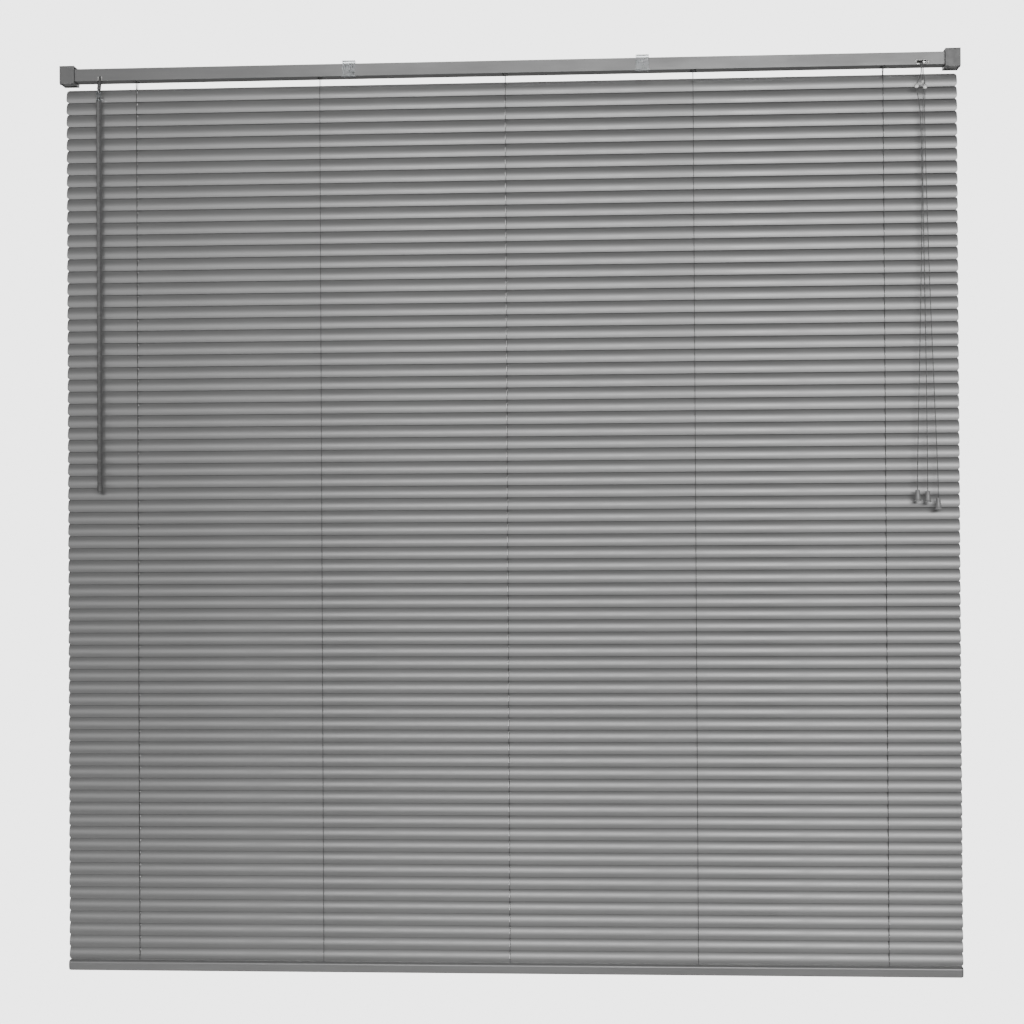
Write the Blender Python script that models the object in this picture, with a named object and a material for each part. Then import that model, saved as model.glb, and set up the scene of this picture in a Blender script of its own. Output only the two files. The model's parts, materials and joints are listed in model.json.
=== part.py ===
"""A venetian blind with 25 mm slats, 1.6 m wide, hanging at full drop with its slats closed.

Metres, +Z up, +X to the right as seen from the room, +Y towards the window. The origin is the middle of
the plane that the end brackets are screwed against, above the slats' centre line.
"""

import math

import bmesh
import bpy
from mathutils import Matrix, Vector

MM = 0.001
GAP = 0.3 * MM  # clearance between pieces that touch

# Head rail: an open-topped channel that holds the mechanism.
RAIL_LENGTH = 1600 * MM
RAIL_DEPTH = 25 * MM
RAIL_HEIGHT = 22 * MM
RAIL_WALL = 0.8 * MM
RAIL_LIP = 1.2 * MM
RAIL_TOP = -5 * MM
RAIL_FLOOR = RAIL_TOP - RAIL_HEIGHT + RAIL_WALL

# Slats: thin crowned strips, closed with their room-side edge down.
SLAT_COUNT = 72
SLATS_PER_GROUP = 3  # one slat in three is a body of its own; the others hang between them
SLAT_PITCH = 21.8 * MM
SLAT_LENGTH = 1594 * MM
SLAT_WIDTH = 25 * MM
SLAT_CROWN = 2.9 * MM
SLAT_THICKNESS = 0.5 * MM
SLAT_CORNER = 5.5 * MM
SLAT_TILT = math.radians(74)
SLATS_X = 2 * MM  # the curtain hangs a little to the right of the head rail's middle
FIRST_SLAT_Z = -51.5 * MM
SLOT_LENGTH = 14 * MM
SLOT_WIDTH = 2.2 * MM

# Ladders and lift cords.
LADDER_COUNT = 5
LADDER_SPACING = 334 * MM
LADDER_X = [SLATS_X + (i - 2) * LADDER_SPACING for i in range(LADDER_COUNT)]
LIFT_X = LADDER_X[::2]
STRING_RADIUS = 0.5 * MM
STRING_FRONT = -4 * MM
STRING_BACK = 5.8 * MM
CORD_RADIUS = 0.7 * MM

# Tilt shaft with its drums, and the worm drive at the left end.
SHAFT_Z = -15 * MM
ROD_SIDE = 5 * MM
ROD_LEFT = -748 * MM
ROD_RIGHT = 690 * MM
DRUM_RADIUS = 9 * MM
DRUM_WIDTH = 9 * MM
BORE_SIDE = ROD_SIDE + 2 * GAP
WAND_X = -730.5 * MM
WHEEL_TEETH = 12
WHEEL_RADIUS = 5.5 * MM
WHEEL_ROOT = 4.7 * MM
WHEEL_WIDTH = 8 * MM
WORM_RADIUS = 2 * MM
STEM_RADIUS = 2 * MM
STEM_LEAN = math.radians(18)  # from the vertical, towards the room
WORM_Y = -(WHEEL_RADIUS + WORM_RADIUS + GAP) / math.cos(STEM_LEAN)
STEM_REACH = 38 * MM  # along the stem, from the shaft's height to its ball
BALL_RADIUS = 2.5 * MM
BALL_Y = WORM_Y - STEM_REACH * math.sin(STEM_LEAN)
BALL_Z = SHAFT_Z - STEM_REACH * math.cos(STEM_LEAN)
WAND_FLATS = 8 * MM
WAND_BOTTOM = -770 * MM

# Cord lock at the right end, and the three cords that leave it.
LOCK_X = 738 * MM
LOCK_LEFT = 721 * MM
LOCK_RIGHT = 755 * MM
LOCK_HALF_DEPTH = 11.2 * MM
LIP_FRONT = -16.6 * MM
CORD_LANES_Y = [-8 * MM, -6.2 * MM, -4.4 * MM]
CORD_EXITS_X = [733 * MM, 734.7 * MM, 736.4 * MM]
TASSELS_BOTTOM = [-795 * MM, -797 * MM, -809 * MM]
TASSEL_HEIGHT = 20 * MM
PULL_Y = -19.3 * MM
# Each free cord's way down from the lock: x, y and z in millimetres, as it hangs. Its bead parts it from the rest.
PULL_WAYS = [
    [(732.8, -19.3, -46), (725.5, -19.3, -66), (728.5, -19.3, -90), (732, -19.3, -120)],
    [(735.4, -19.3, -46), (736.8, -19.3, -60), (736.2, -19.3, -120)],
    [(737.4, -22, -46), (738.4, -24.4, -58), (739, -24.6, -69), (738.6, -21.5, -120)],
]
PULL_SWAYS = [
    [(733.5, -250), (731, -400), (727, -560)],
    [(735.2, -250), (736.8, -400), (738.6, -560)],
    [(741.5, -250), (745.5, -400), (750.8, -560)],
]
TASSELS_X = [722.3 * MM, 739.7 * MM, 757.8 * MM]

# End brackets, their doors, and the clear supports between them.
BRACKET_WIDTH = 27 * MM
BRACKET_HEIGHT = 32 * MM
BRACKET_HALF_DEPTH = 15.5 * MM
BRACKET_WALL = 2.2 * MM
BRACKET_END = RAIL_LENGTH / 2 + 3 * MM
DOOR_THICKNESS = 2.2 * MM
SUPPORTS_X = {"support_left": -278 * MM, "support_right": 246 * MM}
SUPPORT_WIDTH = 23 * MM
SUPPORT_WALL = 1.5 * MM

# Bottom rail: a hollow bar.
BOTTOM_RAIL_LENGTH = 1586 * MM
BOTTOM_RAIL_TOP = -1612 * MM
BOTTOM_RAIL_HEIGHT = 17.5 * MM
BOTTOM_RAIL_WALL = 1.2 * MM


def material(name, color, roughness, metallic=0.0, alpha=1.0):
    made = bpy.data.materials.new(name)
    made.use_nodes = True
    shader = made.node_tree.nodes["Principled BSDF"]
    shader.inputs["Base Color"].default_value = (*color, 1.0)
    shader.inputs["Roughness"].default_value = roughness
    shader.inputs["Metallic"].default_value = metallic
    shader.inputs["Alpha"].default_value = alpha
    made.diffuse_color = (*color, alpha)
    return made


GREY_PAINT = (0.27, 0.27, 0.27)
GREY_PLASTIC = (0.22, 0.22, 0.22)
CORD_GREY = (0.24, 0.24, 0.24)
CLEAR = (0.85, 0.87, 0.88)
STEEL = (0.62, 0.62, 0.60)
PALE_PLASTIC = (0.72, 0.72, 0.70)


def add_object(name, mesh, look):
    """A linked object. The look is a material's colour, roughness, metallic value and alpha."""
    made = bpy.data.objects.new(name, mesh)
    if not mesh.materials:
        mesh.materials.append(material(name, *look))
    bpy.context.collection.objects.link(made)
    return made


def mesh_object(name, bm, look):
    bmesh.ops.recalc_face_normals(bm, faces=bm.faces)
    mesh = bpy.data.meshes.new(name)
    bm.to_mesh(mesh)
    bm.free()
    return add_object(name, mesh, look)


def smooth(made, degrees=35):
    made.data.shade_smooth()
    made.data.set_sharp_from_angle(angle=math.radians(degrees))
    return made


def add_box(bm, low, high):
    size = Vector(high) - Vector(low)
    centre = (Vector(high) + Vector(low)) / 2
    matrix = Matrix.Translation(centre) @ Matrix.Diagonal((*size, 1.0))
    bmesh.ops.create_cube(bm, size=1, matrix=matrix)


def box(name, low, high, look):
    bm = bmesh.new()
    add_box(bm, low, high)
    return mesh_object(name, bm, look)


def extrude_along_x(outline, left, right):
    """A prism whose section is the (y, z) outline."""
    bm = bmesh.new()
    face = bm.faces.new([bm.verts.new((left, y, z)) for y, z in outline])
    grown = bmesh.ops.extrude_face_region(bm, geom=[face])
    corners = [v for v in grown["geom"] if isinstance(v, bmesh.types.BMVert)]
    bmesh.ops.translate(bm, verts=corners, vec=(right - left, 0, 0))
    return bm


def turned(name, profile, sides, look, axis_point=(0, 0, 0), axis_turn=None):
    """A solid of revolution about its own Z axis, from (radius, height) points on one closed loop."""
    bm = bmesh.new()
    corners = [bm.verts.new((radius, 0, height)) for radius, height in profile]
    edges = [bm.edges.new((a, b)) for a, b in zip(corners, corners[1:] + corners[:1])]
    bmesh.ops.spin(bm, geom=corners + edges, cent=(0, 0, 0), axis=(0, 0, 1), angle=math.tau, steps=sides)
    bmesh.ops.remove_doubles(bm, verts=bm.verts, dist=1e-6)
    bmesh.ops.dissolve_degenerate(bm, edges=bm.edges, dist=1e-7)
    made = smooth(mesh_object(name, bm, look))
    made.location = axis_point
    if axis_turn:
        made.rotation_euler = axis_turn
    return made


def cylinder_along_x(bm, left, right, radius, y, z, sides):
    matrix = Matrix.Translation(((left + right) / 2, y, z)) @ Matrix.Rotation(math.pi / 2, 4, "Y")
    bmesh.ops.create_cone(
        bm, segments=sides, radius1=radius, radius2=radius, depth=right - left, cap_ends=True, matrix=matrix
    )


def cut(made, bm):
    """Cuts the solid in bm out of an object, with a hidden cutter."""
    name = f"cutter_{made.name}_{len(made.modifiers)}"
    cutter = mesh_object(name, bm, (STEEL, 0.5))
    cutter.hide_render = True
    cutter.display_type = "WIRE"
    modifier = made.modifiers.new(name, "BOOLEAN")
    modifier.operation = "DIFFERENCE"
    modifier.object = cutter
    return made


def cut_box(made, low, high):
    bm = bmesh.new()
    add_box(bm, low, high)
    return cut(made, bm)


def smooth_route(stops, samples):
    """Points on a smooth curve through the stops, with extra ones only on its short spans."""
    longest_bent_span = 60 * MM
    stops = [Vector(s) for s in stops]
    ends = [2 * stops[0] - stops[1], *stops, 2 * stops[-1] - stops[-2]]
    route = []
    for before, a, b, after in zip(ends, ends[1:], ends[2:], ends[3:]):
        span = (b - a).length
        leave, arrive = (b - before).normalized() * span, (after - a).normalized() * span
        steps = samples if span < longest_bent_span else 1
        for step in range(steps):
            t = step / steps
            stay = 2 * t**3 - 3 * t**2
            bend = a * (stay + 1) - b * stay + leave * (t**3 - 2 * t**2 + t) + arrive * (t**3 - t**2)
            route.append(bend)
    return [*route, stops[-1]]


def tube(name, route, radius, resolution, look):
    curve = bpy.data.curves.new(name, "CURVE")
    curve.dimensions = "3D"
    curve.bevel_depth = radius
    curve.bevel_resolution = resolution
    curve.use_fill_caps = True
    spline = curve.splines.new("POLY")
    spline.points.add(len(route) - 1)
    for point, place in zip(spline.points, route):
        point.co = (*place, 1.0)
    return add_object(name, curve, look)


def slat_z(number):
    """The height of a slat's axis, counting from 1 at the top."""
    return FIRST_SLAT_Z - (number - 1) * SLAT_PITCH


def make_head_rail():
    half, top, bottom = RAIL_DEPTH / 2, RAIL_TOP, RAIL_TOP - RAIL_HEIGHT
    wall, lip = half - RAIL_WALL, half - RAIL_LIP
    right_side = [
        (half, bottom),
        (half, top),
        (lip, top),
        (lip, top - RAIL_LIP),
        (wall, top - RAIL_LIP),
        (wall, RAIL_FLOOR),
    ]
    left_side = [(-y, z) for y, z in reversed(right_side)]
    bm = extrude_along_x([*right_side, *left_side], -RAIL_LENGTH / 2, RAIL_LENGTH / 2)
    rail = mesh_object("headrail", bm, (GREY_PAINT, 0.4, 0.3))
    ladder_hole = (5 * MM, 10.8 * MM)
    for x in LADDER_X:
        low = (x - ladder_hole[0], -ladder_hole[1], bottom - MM)
        cut_box(rail, low, (x + ladder_hole[0], ladder_hole[1], RAIL_FLOOR + MM))
    cut_box(
        rail,
        (LOCK_X - 12 * MM, -half - MM, RAIL_FLOOR),
        (LOCK_X + 12 * MM, -half + RAIL_WALL + MM, RAIL_FLOOR + 6 * MM),
    )
    notch = 4 * MM
    cut_box(rail, (WAND_X - notch, -half - MM, bottom - MM), (WAND_X + notch, -6.5 * MM, -19 * MM))


def make_bracket(name, side):
    """An end bracket, open to the room and towards the blind. The side is -1 for left and 1 for right."""
    outer, inner = side * BRACKET_END, side * (BRACKET_END - BRACKET_WIDTH)
    left, right = sorted((outer, inner))
    depth = BRACKET_HALF_DEPTH
    bracket = box(name, (left, -depth, -BRACKET_HEIGHT), (right, depth, 0), (GREY_PLASTIC, 0.45))
    rail_bottom = RAIL_TOP - RAIL_HEIGHT - GAP
    inner_wall = RAIL_LENGTH / 2 + GAP
    hollow_left, hollow_right = sorted((side * inner_wall, side * (BRACKET_END - BRACKET_WIDTH - 5 * MM)))
    cut_box(
        bracket,
        (hollow_left, -depth - 5 * MM, rail_bottom),
        (hollow_right, RAIL_DEPTH / 2 + GAP, -BRACKET_WALL),
    )
    edge = BRACKET_WALL
    cut_box(
        bracket,
        (left + edge, -depth + edge, -BRACKET_HEIGHT - 5 * MM),
        (right - edge, depth - edge, -BRACKET_HEIGHT + 2.4 * MM),
    )
    bevel = bracket.modifiers.new("softened_edges", "BEVEL")
    bevel.width = 0.4 * MM
    bevel.segments = 1
    bevel.limit_method = "ANGLE"


def make_door(name, side):
    """The bracket's front door, hinged by a rounded barrel along its bottom edge."""
    half = DOOR_THICKNESS / 2
    barrel = [(half * math.cos(a), half * math.sin(a)) for a in (math.radians(30 * i) for i in range(7))]
    rise = BRACKET_HEIGHT - half
    nose = 0.7 * MM
    outline = [(y, -z) for y, z in barrel]
    outline += [(-half, rise - nose), (-half + nose, rise), (half, rise)]
    inset = GAP
    bm = extrude_along_x(outline, -BRACKET_WIDTH / 2 + inset, BRACKET_WIDTH / 2 - inset)
    door = mesh_object(name, bm, (GREY_PLASTIC, 0.45))
    door.location = (
        side * (BRACKET_END - BRACKET_WIDTH / 2),
        -BRACKET_HALF_DEPTH - GAP - half,
        -BRACKET_HEIGHT + half,
    )


def make_support(name, x):
    """A clear clip round the head rail, with a hollow pad on top that a screw holds."""
    inner, outer = RAIL_DEPTH / 2 + GAP, RAIL_DEPTH / 2 + GAP + SUPPORT_WALL
    under_pad = RAIL_TOP + GAP
    under_rail = RAIL_TOP - RAIL_HEIGHT - GAP
    outline = [
        (outer, -13 * MM),
        (outer, 0),
        (-outer, 0),
        (-outer, under_rail - SUPPORT_WALL),
        (-5 * MM, under_rail - SUPPORT_WALL),
        (-5 * MM, under_rail),
        (-inner, under_rail),
        (-inner, under_pad),
        (inner, under_pad),
        (inner, -13 * MM),
    ]
    bm = extrude_along_x(outline, x - SUPPORT_WIDTH / 2, x + SUPPORT_WIDTH / 2)
    support = mesh_object(name, bm, (CLEAR, 0.15, 0.0, 0.35))
    hollow = 1.4 * MM
    cut_box(
        support,
        (x - SUPPORT_WIDTH, -10 * MM, under_pad + hollow),
        (x + SUPPORT_WIDTH, 10 * MM, -hollow),
    )


def slat_mesh():
    """One slat as a flat-lying crowned sheet with three cord slots, which a Solidify thickens."""
    slot = SLOT_LENGTH / 2
    half = SLAT_WIDTH / 2
    chord = [-half, -10.9 * MM, -slot, -slot / 2, 0, slot / 2, slot, 10.9 * MM, half]
    columns = []
    for x in LIFT_X:
        columns += [x - SLATS_X - SLOT_WIDTH / 2, x - SLATS_X + SLOT_WIDTH / 2]

    def end(across):
        past = max(abs(across) - (half - SLAT_CORNER), 0)
        return SLAT_LENGTH / 2 - SLAT_CORNER + math.sqrt(SLAT_CORNER**2 - past**2)

    bm = bmesh.new()
    rows = []
    for across in chord:
        height = SLAT_CROWN * (0.5 - (across / half) ** 2)
        inside = columns if abs(across) <= slot else []
        places = [-end(across), *inside, end(across)]
        rows.append([bm.verts.new((x, across, height)) for x in places])
    for low, high in zip(rows, rows[1:]):
        if len(low) == len(high) and len(low) > 2:
            for i in range(0, len(low), 2):
                bm.faces.new((low[i], low[i + 1], high[i + 1], high[i]))
        else:
            bm.faces.new([*low, *reversed(high)])
    mesh = bpy.data.meshes.new("slat")
    bm.to_mesh(mesh)
    bm.free()
    mesh.shade_smooth()
    mesh.set_sharp_from_angle(angle=math.radians(35))
    return mesh


def make_slats():
    mesh = slat_mesh()
    for number in range(2, SLAT_COUNT + 1, SLATS_PER_GROUP):
        slat = add_object(f"slat_{number:02d}", mesh, (GREY_PAINT, 0.38, 0.1))
        slat.location = (SLATS_X, 0, slat_z(number))
        slat.rotation_euler = (SLAT_TILT, 0, 0)
        thicken = slat.modifiers.new("thickness", "SOLIDIFY")
        thicken.thickness = SLAT_THICKNESS
        thicken.offset = 1


def make_tilt_shaft():
    side = ROD_SIDE / 2
    rod = box(
        "tilt_rod", (ROD_LEFT, -side, SHAFT_Z - side), (ROD_RIGHT, side, SHAFT_Z + side), (STEEL, 0.35, 0.9)
    )
    bevel = rod.modifiers.new("rounded_edges", "BEVEL")
    bevel.width = 0.4 * MM
    bevel.segments = 1
    for number, x in enumerate(LADDER_X, 1):
        bm = bmesh.new()
        cylinder_along_x(bm, x - DRUM_WIDTH / 2, x + DRUM_WIDTH / 2, DRUM_RADIUS, 0, SHAFT_Z, 24)
        drum = smooth(mesh_object(f"ladder_drum_{number}", bm, (PALE_PLASTIC, 0.5)))
        cut_rod_bore(drum, x, DRUM_WIDTH)
    make_wheel()


def cut_rod_bore(made, x, width):
    side = BORE_SIDE / 2
    cut_box(made, (x - width, -side, SHAFT_Z - side), (x + width, side, SHAFT_Z + side))


def make_wheel():
    """The worm wheel: a tooth is a root, a flank, a tip and a flank."""
    outline = []
    for tooth in range(WHEEL_TEETH):
        for share, radius in ((0.0, WHEEL_ROOT), (0.3, WHEEL_ROOT), (0.45, WHEEL_RADIUS), (0.85, WHEEL_RADIUS)):
            angle = math.tau * (tooth + share) / WHEEL_TEETH
            outline.append((radius * math.cos(angle), SHAFT_Z + radius * math.sin(angle)))
    bm = extrude_along_x(outline, WAND_X - WHEEL_WIDTH / 2, WAND_X + WHEEL_WIDTH / 2)
    cut_rod_bore(mesh_object("tilter_wheel", bm, (PALE_PLASTIC, 0.5)), WAND_X, WHEEL_WIDTH)


def make_worm():
    """The worm, its stem and the ball that carries the wand, turned about one leaning axis."""
    ball = [
        (BALL_RADIUS * math.sin(a), -STEM_REACH - BALL_RADIUS * math.cos(a))
        for a in (math.radians(24 * i) for i in range(1, 7))
    ]
    profile = [
        (0, -STEM_REACH - BALL_RADIUS),
        *ball,
        (STEM_RADIUS * 0.8, -STEM_REACH + 2.2 * MM),
        (STEM_RADIUS, -STEM_REACH + 4 * MM),
                (WORM_RADIUS, 5.5 * MM),
        (WORM_RADIUS - 0.5 * MM, 6 * MM),
        (0, 6 * MM),
    ]
    turned(
        "tilter_worm",
        profile,
        16,
        (STEEL, 0.4, 0.8),
        axis_point=(WAND_X, WORM_Y, SHAFT_Z),
        axis_turn=(-STEM_LEAN, 0, 0),
    )


def make_tilter_housing():
    half_width = 12 * MM
    housing = box(
        "tilter_housing",
        (WAND_X - half_width, -LOCK_HALF_DEPTH, RAIL_FLOOR + GAP),
        (WAND_X + half_width, 9 * MM, -7.5 * MM),
        (PALE_PLASTIC, 0.5),
    )
    wheel_room = WHEEL_RADIUS + 1 * MM
    cut_box(
        housing,
        (WAND_X - WHEEL_WIDTH / 2 - MM, -wheel_room, SHAFT_Z - wheel_room),
        (WAND_X + WHEEL_WIDTH / 2 + MM, wheel_room, 0),
    )
    rod_room = bmesh.new()
    cylinder_along_x(rod_room, WAND_X - 15 * MM, WAND_X + 15 * MM, 4 * MM, 0, SHAFT_Z, 16)
    cut(housing, rod_room)
    worm_room = bmesh.new()
    lean = Matrix.Translation((WAND_X, WORM_Y, SHAFT_Z)) @ Matrix.Rotation(-STEM_LEAN, 4, "X")
    bmesh.ops.create_cone(
        worm_room, segments=16, radius1=2.6 * MM, radius2=2.6 * MM, depth=40 * MM, cap_ends=True, matrix=lean
    )
    cut(housing, worm_room)


def make_wand():
    """The clear sleeve that hangs on the stem's ball, the hexagonal wand that turns in it, and its tip."""
    sleeve_inner, sleeve_outer, spigot = 3.3 * MM, 4.4 * MM, 2.6 * MM
    socket = spigot + GAP
    sleeve_bottom = -14 * MM
    sleeve = [
        (sleeve_outer, 1.5 * MM),
        (sleeve_outer, sleeve_bottom),
        (socket, sleeve_bottom),
        (socket, -6 * MM),
        (0, -6 * MM),
        (0, -4 * MM),
        (sleeve_inner, -4 * MM),
        (sleeve_inner, 1.5 * MM),
    ]
    place = (WAND_X, BALL_Y, BALL_Z)
    turned("wand_sleeve", sleeve, 16, (CLEAR, 0.15, 0.0, 0.35), axis_point=place)

    corner = WAND_FLATS / 2 / math.cos(math.radians(30))
    tip_top = WAND_BOTTOM - BALL_Z + 14 * MM
    shoulder = sleeve_bottom - GAP
    rod = [
        (0, -6 * MM - GAP),
        (spigot, -6 * MM - GAP),
        (spigot, shoulder),
        (corner - 0.8 * MM, shoulder),
        (corner, shoulder - 1.5 * MM),
        (corner, tip_top),
        (0, tip_top),
    ]
    turned("wand", rod, 6, (GREY_PLASTIC, 0.35), axis_point=place)
    bottom = WAND_BOTTOM - BALL_Z
    tip = [
        (0, tip_top - GAP),
        (corner + 0.4 * MM, tip_top - GAP),
        (corner + 0.4 * MM, bottom + 2 * MM),
        (corner - 1 * MM, bottom),
        (0, bottom),
    ]
    turned("wand_tip", tip, 16, (GREY_PLASTIC, 0.35), axis_point=place)


def make_cord_lock():
    lock = box(
        "cord_lock",
        (LOCK_LEFT, -LOCK_HALF_DEPTH, RAIL_FLOOR + GAP),
        (LOCK_RIGHT, LOCK_HALF_DEPTH, -9 * MM),
        (PALE_PLASTIC, 0.45),
    )
    lip_top = -25.4 * MM
    mouth_left, mouth_right = LOCK_X - 10 * MM, LOCK_X + 8 * MM
    lip = bmesh.new()
    add_box(
        lip,
        (mouth_left + MM, LIP_FRONT, RAIL_FLOOR + GAP),
        (mouth_right - MM, -LOCK_HALF_DEPTH + MM, lip_top),
    )
    tongue = mesh_object("guide_lock_lip", lip, (STEEL, 0.4))
    tongue.hide_render = True
    tongue.display_type = "WIRE"
    join = lock.modifiers.new("lip", "BOOLEAN")
    join.operation = "UNION"
    join.object = tongue
    cut_box(lock, (LOCK_LEFT - MM, -9.6 * MM, -27 * MM), (mouth_left + MM, -2.8 * MM, -22 * MM))
    cut_box(lock, (mouth_left, -20 * MM, lip_top), (mouth_right, -2.5 * MM, -14 * MM))

    bm = bmesh.new()
    matrix = Matrix.Translation((LOCK_X + 3 * MM, -6 * MM, -20 * MM)) @ Matrix.Rotation(math.pi / 2, 4, "X")
    bmesh.ops.create_cone(
        bm, segments=16, radius1=2.6 * MM, radius2=2.6 * MM, depth=6.4 * MM, cap_ends=True, matrix=matrix
    )
    smooth(mesh_object("cord_lock_roller", bm, (STEEL, 0.35, 0.9)))


def make_lift_cords():
    """From the bottom rail up through the slats, over into the head rail, and along it into the lock."""
    lane_z, lock_z = -25.2 * MM, -24.2 * MM
    names = ("lift_cord_left", "lift_cord_middle", "lift_cord_right")
    for name, x, lane, turn_x in zip(names, LIFT_X, CORD_LANES_Y, CORD_EXITS_X):
        stops = [
            (x, 0, BOTTOM_RAIL_TOP + GAP),
            (x, 0, -90 * MM),
            (x, 0, -33 * MM),
            (x + 1.2 * MM, lane * 0.15, -28 * MM),
            (x + 5 * MM, lane * 0.5, lane_z - 0.3 * MM),
            (x + 12 * MM, lane * 0.95, lane_z),
            (x + 20 * MM, lane, lane_z),
            (717 * MM, lane, lane_z),
            (727.5 * MM, lane, lock_z),
            (turn_x - 3 * MM, lane, lock_z),
            (turn_x - 0.9 * MM, lane - 0.9 * MM, lock_z),
            (turn_x, lane - 3 * MM, lock_z),
            (turn_x, -12 * MM, lock_z),
        ]
        tube(name, smooth_route(stops, 2), CORD_RADIUS, 1, (CORD_GREY, 0.8))


def make_pull_cords():
    """The free ends of the lift cords: out of the lock, over its lip, and down to the tassels."""
    lock_z = -24.2 * MM
    for number, exit_x in enumerate(CORD_EXITS_X):
        bottom = TASSELS_BOTTOM[number] + TASSEL_HEIGHT + GAP
        stops = [
            (exit_x, -12 * MM - GAP, lock_z),
            (exit_x, -13.5 * MM, lock_z),
            (exit_x, PULL_Y + 2.3 * MM, lock_z - 0.1 * MM),
            (exit_x, PULL_Y + 0.7 * MM, lock_z - 1.1 * MM),
            (exit_x, PULL_Y, -28 * MM),
            *[(x * MM, y * MM, z * MM) for x, y, z in PULL_WAYS[number]],
            *[(x * MM, PULL_Y, z * MM) for x, z in PULL_SWAYS[number]],
            (TASSELS_X[number], PULL_Y, bottom + 30 * MM),
            (TASSELS_X[number], PULL_Y, bottom),
        ]
        tube(f"pull_cord_{number + 1}", smooth_route(stops, 3), CORD_RADIUS, 2, (CORD_GREY, 0.8))


def make_tassels():
    """Flared bells with a hollow foot."""
    height = TASSEL_HEIGHT
    profile = [
        (0, height),
        (3 * MM, height),
        (3.6 * MM, height - 0.8 * MM),
        (4 * MM, height * 0.6),
        (5.2 * MM, height * 0.3),
        (6.2 * MM, 2 * MM),
        (6.4 * MM, 0.8 * MM),
        (6 * MM, 0),
        (4.8 * MM, 0),
        (3.6 * MM, height * 0.3),
        (0, height * 0.35),
    ]
    for number in range(3):
        place = (TASSELS_X[number], PULL_Y, TASSELS_BOTTOM[number])
        turned(f"tassel_{number + 1}", profile, 16, (GREY_PLASTIC, 0.35), axis_point=place)


def make_ladders():
    """Each ladder's front and back strings, as the one cord that goes over its drum."""
    over = DRUM_RADIUS + GAP + STRING_RADIUS
    bottom = BOTTOM_RAIL_TOP + GAP
    for number, x in enumerate(LADDER_X, 1):
        rise = [(STRING_FRONT, bottom), (STRING_FRONT, -90 * MM), (STRING_FRONT, -46 * MM), (-over, -26 * MM)]
        arc = [
            (-over * math.cos(angle), SHAFT_Z + over * math.sin(angle))
            for angle in (math.radians(22.5 * i) for i in range(9))
        ]
        fall = [(over, -26 * MM), (STRING_BACK, -46 * MM), (STRING_BACK, -90 * MM), (STRING_BACK, bottom)]
        stops = [(x, y, z) for y, z in [*rise, *arc, *fall]]
        tube(f"ladder_{number}", stops, STRING_RADIUS, 1, (CORD_GREY, 0.8))


def make_bottom_rail():
    """A hollow bar with a rounded top, open at its ends."""
    half, top = SLAT_WIDTH / 2, BOTTOM_RAIL_TOP
    bottom = top - BOTTOM_RAIL_HEIGHT
    round_radius = 4 * MM
    corner = [
        (
            half - round_radius + round_radius * math.cos(angle),
            top - round_radius + round_radius * math.sin(angle),
        )
        for angle in (math.radians(22.5 * i) for i in range(5))
    ]
    right_side = [(half - 1 * MM, bottom), (half, bottom + 1 * MM), *corner]
    outline = [*right_side, *[(-y, z) for y, z in reversed(right_side)]]
    end = BOTTOM_RAIL_LENGTH / 2
    bm = extrude_along_x(outline, SLATS_X - end, SLATS_X + end)
    rail = mesh_object("bottom_rail", bm, (GREY_PAINT, 0.4, 0.1))
    wall = BOTTOM_RAIL_WALL
    middle = (top + bottom) / 2
    across, tall = 1 - wall / half, 1 - 2 * wall / BOTTOM_RAIL_HEIGHT
    inside = [(y * across, middle + (z - middle) * tall) for y, z in outline]
    cut(rail, extrude_along_x(inside, SLATS_X - end - MM, SLATS_X + end + MM))


def main():
    for old in list(bpy.data.objects):
        bpy.data.objects.remove(old, do_unlink=True)
    make_head_rail()
    for word, side in (("left", -1), ("right", 1)):
        make_bracket(f"bracket_{word}", side)
        make_door(f"door_{word}", side)
    for name, x in SUPPORTS_X.items():
        make_support(name, x)
    make_slats()
    make_tilt_shaft()
    make_tilter_housing()
    make_worm()
    make_wand()
    make_cord_lock()
    make_lift_cords()
    make_pull_cords()
    make_tassels()
    make_ladders()
    make_bottom_rail()


main()
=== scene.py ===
"""The looks of a grey venetian blind: 72 slats on five ladders, its cords, wand and brackets."""

import json
import math

import bmesh
import bpy
from mathutils import Matrix, Vector


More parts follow.
